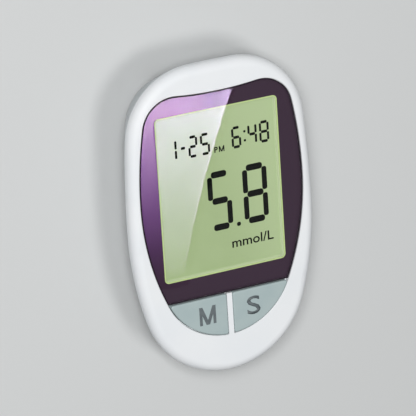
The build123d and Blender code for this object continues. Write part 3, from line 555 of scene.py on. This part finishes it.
def displayBar(length, width):
    bpy.ops.mesh.primitive_plane_add(size=1)
    bar = bpy.context.active_object
    bar.scale = (mm(length), mm(width), 1)
    applyPlace(bar)
    bpy.ops.object.mode_set(mode="EDIT")
    bpy.ops.mesh.select_all(action="SELECT")
    bpy.ops.mesh.bevel(offset=mm(width * figures["rounding"]), segments=3, affect="VERTICES")
    bpy.ops.mesh.select_all(action="SELECT")
    thicken(figures["thickness"])
    bpy.ops.object.mode_set(mode="OBJECT")
    return bar


def figureShape(figure, left, width, row):
    stroke = row["stroke"]
    uprightStroke = stroke * figures["lean"]
    gap = stroke * figures["gap"]
    rise = (row["tall"] - stroke) / 2
    reach = (width - uprightStroke) / 2
    flat = displayBar(2 * reach - 2 * gap, stroke)
    upright = displayBar(rise - 2 * gap, uprightStroke)
    middleX, middleY = left + width / 2, row["bottom"] + row["tall"] / 2
    places = {"a": (0, rise), "g": (0, 0), "d": (0, -rise),
              "f": (-reach, rise / 2), "b": (reach, rise / 2),
              "e": (-reach, -rise / 2), "c": (reach, -rise / 2)}
    bars = []
    for segment in segmentsOf[figure]:
        x, y = places[segment]
        turn = Matrix.Identity(4) if segment in "agd" else Matrix.Rotation(radians(90), 4, "Z")
        place = Matrix.Translation(mm(middleX + x, middleY + y, figures["height"])) @ turn
        bars.append(copyPiece(flat if segment in "agd" else upright, place))
    bpy.data.objects.remove(flat)
    bpy.data.objects.remove(upright)
    return bars


def makeRow(name, row):
    bars = []
    for figure, left, width in row["figures"]:
        bars += figureShape(figure, left, width, row)
    for x, y, across, tall in row["dots"]:
        dot = displayBar(across, tall)
        dot.data.transform(Matrix.Translation(mm(x, y, figures["height"])))
        bars.append(dot)
    return joinPieces(name, bars)


def wordShape(words, letter, weight):  # stretched to the letter's four sides
    bpy.ops.object.text_add()
    text = bpy.context.active_object
    text.data.body = words
    text.data.size = mm(lettering["size"])
    text.data.offset = mm(weight)
    text.data.resolution_u = lettering["curveSteps"]
    bpy.ops.object.convert(target="MESH")
    shape = bpy.context.active_object
    bpy.ops.object.mode_set(mode="EDIT")
    bpy.ops.mesh.select_all(action="SELECT")
    bpy.ops.mesh.remove_doubles(threshold=mm(lettering["weld"]))
    thicken(letter["thickness"])
    bpy.ops.object.mode_set(mode="OBJECT")
    xs = [vertex.co.x for vertex in shape.data.vertices]
    ys = [vertex.co.y for vertex in shape.data.vertices]
    stretchX = mm(letter["right"] - letter["left"]) / (max(xs) - min(xs))
    stretchY = mm(letter["top"] - letter["bottom"]) / (max(ys) - min(ys))
    shift = Matrix.Translation((mm(letter["left"]) - min(xs) * stretchX,
                                mm(letter["bottom"]) - min(ys) * stretchY,
                                mm(letter["height"])))
    shape.data.transform(shift @ Matrix.Diagonal((stretchX, stretchY, 1, 1)))
    return shape


def strokeShape(letter, footX, headX, width):  # its ends lie flat on the top and bottom lines
    bpy.ops.mesh.primitive_plane_add(size=1)
    stroke = bpy.context.active_object
    for vertex in stroke.data.vertices:
        middle = headX if vertex.co.y > 0 else footX
        y = letter["top"] if vertex.co.y > 0 else letter["bottom"]
        vertex.co = mm(middle + vertex.co.x * width, y, letter["height"])
    bpy.ops.object.mode_set(mode="EDIT")
    bpy.ops.mesh.select_all(action="SELECT")
    thicken(letter["thickness"])
    bpy.ops.object.mode_set(mode="OBJECT")
    return stroke


def letterM(letter):
    left = letter["left"] + letter["upright"] / 2
    right = letter["right"] - letter["upright"] / 2
    middle = (left + right) / 2
    shape, *others = [strokeShape(letter, footX, headX, width) for footX, headX, width in (
        (left, left, letter["upright"]), (middle, left, letter["slanted"]),
        (middle, right, letter["slanted"]), (right, right, letter["upright"]))]
    for other in others:
        union = shape.modifiers.new("union", "BOOLEAN")
        union.operation = "UNION"
        union.object = other
        selectOnly(shape)
        bpy.ops.object.modifier_apply(modifier=union.name)
        bpy.data.objects.remove(other)
    return shape


smallFigures = makeRow("smallFigures", smallRow)
bigFigures = makeRow("bigFigures", bigRow)

# PM beside the time, and the unit below the reading
afternoonM = {"height": figures["height"], "thickness": figures["thickness"],
              "bottom": 19.9, "top": 21.7, "left": 0.9, "right": 2.7, "upright": 0.34,
              "slanted": 0.4}
afternoonP = {**afternoonM, "left": -0.6, "right": 0.55}
unit = {**afternoonM, "bottom": -10.8, "top": -7.8, "left": 3.3, "right": 17.0}
displayWords = joinPieces("displayWords", [
    letterM(afternoonM), wordShape("P", afternoonP, 0.3), wordShape("mmol/L", unit, 0.12)])
for piece in (smallFigures, bigFigures, displayWords):
    piece.data.materials.clear()
    piece.data.materials.append(finishes["segmentBlack"])
    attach(piece, "case")
print("display figures made")


# legends on the keys
legendM = {"height": 22.599, "thickness": 0.012, "bottom": -31.8, "top": -26.0,
           "left": -10.3, "right": -4.9, "upright": 0.95, "slanted": 1.15}
legendS = {**legendM, "left": 5.4, "right": 9.8}
for name, shape, body in (("legendS", wordShape("S", legendS, 0.1), "right_key"),
                          ("legendM", letterM(legendM), "left_key")):
    piece = joinPieces(name, [shape])
    piece.data.materials.clear()
    piece.data.materials.append(finishes["legendGrey"])
    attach(piece, body)
print("key legends made")


# camera
viewpoint = {"back": (-0.388, 0.341, 0.856), "up": (0.200, 0.938, -0.283),
             "distance": 1.1, "lens": 320.0, "nearest": 0.01, "target": (0.0, 0.0, 0.011)}
back = Vector(viewpoint["back"]).normalized()
right = Vector(viewpoint["up"]).cross(back).normalized()
upright = back.cross(right)
eye = Vector(viewpoint["target"]) + back * viewpoint["distance"]
cameraData = bpy.data.cameras.new("camera")
camera = bpy.data.objects.new("camera", cameraData)
bpy.context.scene.collection.objects.link(camera)
cameraData.lens = viewpoint["lens"]
cameraData.clip_start = viewpoint["nearest"]
camera.matrix_world = Matrix((
    (right.x, upright.x, back.x, eye.x), (right.y, upright.y, back.y, eye.y),
    (right.z, upright.z, back.z, eye.z), (0, 0, 0, 1)))
bpy.context.scene.camera = camera
print("camera made")


# floor: paper, just clear of the feet
paper = {"size": 6, "below": 0.05, "pale": (0.64, 0.65, 0.65, 1), "fleck": (0.63, 0.64, 0.64, 1),
         "fleckSize": 0.8, "roughness": 0.9, "specular": 0.1}
bpy.ops.mesh.primitive_plane_add(size=paper["size"], location=mm(0, 0, -paper["below"]))
floor = bpy.context.active_object
floor.name = "floor"
material, tree, shader = newMaterial("floorPaper")
tree.links.new(blendColours(tree, noise(tree, paper["fleckSize"], detail=3.0), paper["pale"],
                            paper["fleck"]), shader.inputs["Base Color"])
shader.inputs["Roughness"].default_value = paper["roughness"]
shader.inputs["Specular IOR Level"].default_value = paper["specular"]
# a look from below goes through it, and the case is then lit from below as well
lightPath = addNode(tree, "ShaderNodeLightPath").outputs
fromBelow = calculate(
    tree, "MAXIMUM", addNode(tree, "ShaderNodeNewGeometry").outputs["Backfacing"],
    calculate(tree, "GREATER_THAN", lightPath["Transparent Depth"], 0.5))
seeThrough(tree, shader, calculate(tree, "SUBTRACT", 1.0, fromBelow))
floor.data.materials.append(material)

# room: what it lights the object with, and the pale backdrop that shows behind it
room = {"zenith": (0.20, 0.205, 0.205, 1), "zenithFrom": 0.8, "horizon": (0.01, 0.012, 0.012, 1),
        "below": (0.75, 0.76, 0.76, 1), "belowFrom": -0.05, "backdrop": (0.9, 0.91, 0.92, 1)}
world = bpy.data.worlds.new("room")
bpy.context.scene.world = world
world.use_nodes = True
tree = world.node_tree
height = addNode(tree, "ShaderNodeSeparateXYZ", {
    0: addNode(tree, "ShaderNodeTexCoord").outputs["Generated"]}).outputs[2]
rays = addNode(tree, "ShaderNodeLightPath").outputs
mirrored = calculate(tree, "MAXIMUM", rays["Is Glossy Ray"], rays["Is Transmission Ray"])
below = blendColours(tree, mirrored, room["below"], room["backdrop"])
sky = blendColours(tree, remap(tree, height, 0.0, room["zenithFrom"]),
                   room["horizon"], room["zenith"])
sky = blendColours(tree, remap(tree, height, 0.0, room["belowFrom"]), sky, below)
tree.links.new(blendColours(tree, rays["Is Camera Ray"], sky, room["backdrop"]),
               tree.nodes["Background"].inputs["Color"])

# lamps: the key light at the upper left and a fill overhead
lamps = {"keyLight": {"place": (-0.48, 0.44, 1.04), "power": 9.6, "size": 0.3},
         "fillLight": {"place": (0.06, -0.03, 1.24), "power": 3.9, "size": 0.3}}
for name, look in lamps.items():
    lampData = bpy.data.lights.new(name, "AREA")
    lampData.size = look["size"]
    lampData.energy = look["power"]
    lamp = bpy.data.objects.new(name, lampData)
    bpy.context.scene.collection.objects.link(lamp)
    lamp.location = look["place"]
    lamp.rotation_euler = (-Vector(look["place"])).to_track_quat("-Z", "Y").to_euler()
print("floor, room and lamps made")


# bright reflection across the window: two lit cards above the toe end, each mirrored by one
# layer under the lens; on the right it ends at a curve from foot to head, in millimetres
glare = {"away": 300.0, "rows": 40, "mirrorStrength": 78.0, "colourBand": (0.5, 0.9),
         "edgeBand": (0.93, 0.97), "edgeGain": 1.35, "footX": -14.7, "footY": -16.8,
         "runX": 20.0, "runY": 56.6, "sag": 6.2}
glareCards = {
    "displayGlare": {"node": "front_polariser",
                     "colours": ((0.62, 0.52, 0.81, 1), (0.68, 0.56, 0.88, 1)),
                     "left": -20.5, "right": 20.5, "bottom": -17.5, "top": 34.5,
                     "levels": [(-17, 0.0), (-9, 0.20), (0, 0.33), (12, 0.54), (24, 0.83),
                                (33, 1.0)]},
    "maskGlare": {"node": "lens_mask",
                  "colours": ((0.80, 0.62, 0.75, 1), (0.93, 0.71, 1.14, 1)),
                  "left": -30.0, "right": 30.0, "bottom": -17.5, "top": 45.0,
                  "levels": [(-6, 0.0), (5, 0.04), (12, 0.12), (20, 0.26), (30, 0.62),
                             (38, 1.0)]},
}


def glareEdge(y):  # where the lit part ends, to the right, on the lens's face
    along = (y - glare["footY"]) / glare["runY"]
    return glare["footX"] + glare["runX"] * along - glare["sag"] * along * (1 - along)


def glareMaterial(name, look):
    material, tree, shader = newMaterial(name)
    across, along = addNode(tree, "ShaderNodeSeparateXYZ", {
        0: addNode(tree, "ShaderNodeTexCoord").outputs["UV"]}).outputs[:2]
    fade = addNode(tree, "ShaderNodeValToRGB", {0: along})
    ramp = fade.color_ramp
    while len(ramp.elements) < len(look["levels"]):
        ramp.elements.new(0.5)
    for element, (y, level) in zip(ramp.elements, look["levels"]):
        element.position = (y - look["bottom"]) / (look["top"] - look["bottom"])
        element.color = (level, level, level, 1)
    edgeGain = remap(tree, across, *glare["edgeBand"], 1.0, glare["edgeGain"])
    strength = calculate(tree, "MULTIPLY", fade.outputs[0],
                         calculate(tree, "MULTIPLY", edgeGain, glare["mirrorStrength"]))
    colour = blendColours(tree, remap(tree, across, *glare["colourBand"]), *look["colours"])
    shader.inputs["Base Color"].default_value = (0, 0, 0, 1)
    tree.links.new(colour, shader.inputs["Emission Color"])
    tree.links.new(strength, shader.inputs["Emission Strength"])
    material.cycles.emission_sampling = "NONE"
    return material


def makeGlareCard(name, look):
    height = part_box(look["node"])[1].z
    depth = (lensTop - height) * 1000
    mirroredEye = Vector((eye.x, eye.y, 2 * height - eye.z))
    bpy.ops.mesh.primitive_grid_add(x_subdivisions=1, y_subdivisions=glare["rows"], size=2)
    card = bpy.context.active_object
    card.name = name
    for vertex in card.data.vertices:
        across, along = (vertex.co.x + 1) / 2, (vertex.co.y + 1) / 2
        y = look["bottom"] + along * (look["top"] - look["bottom"])
        # the layer lies deeper than the lens's face, so its edge is moved to match from the eye
        edge = glareEdge(y + depth * back.y / back.z) - depth * back.x / back.z
        x = look["left"] + across * (min(edge, look["right"]) - look["left"])
        onLayer = Vector((mm(x), mm(y), height))
        vertex.co = onLayer + (onLayer - mirroredEye).normalized() * mm(glare["away"])
    card.data.materials.append(glareMaterial(name, look))
    card.visible_camera = card.visible_diffuse = card.visible_shadow = False
    card.visible_transmission = card.visible_volume_scatter = False
    mirror = bpy.data.collections.new(name)
    mirror.objects.link(nodes[look["node"]])
    card.light_linking.receiver_collection = mirror


for name, look in glareCards.items():
    makeGlareCard(name, look)
print("glare cards made")

bpy.context.scene.view_settings.view_transform = "Standard"
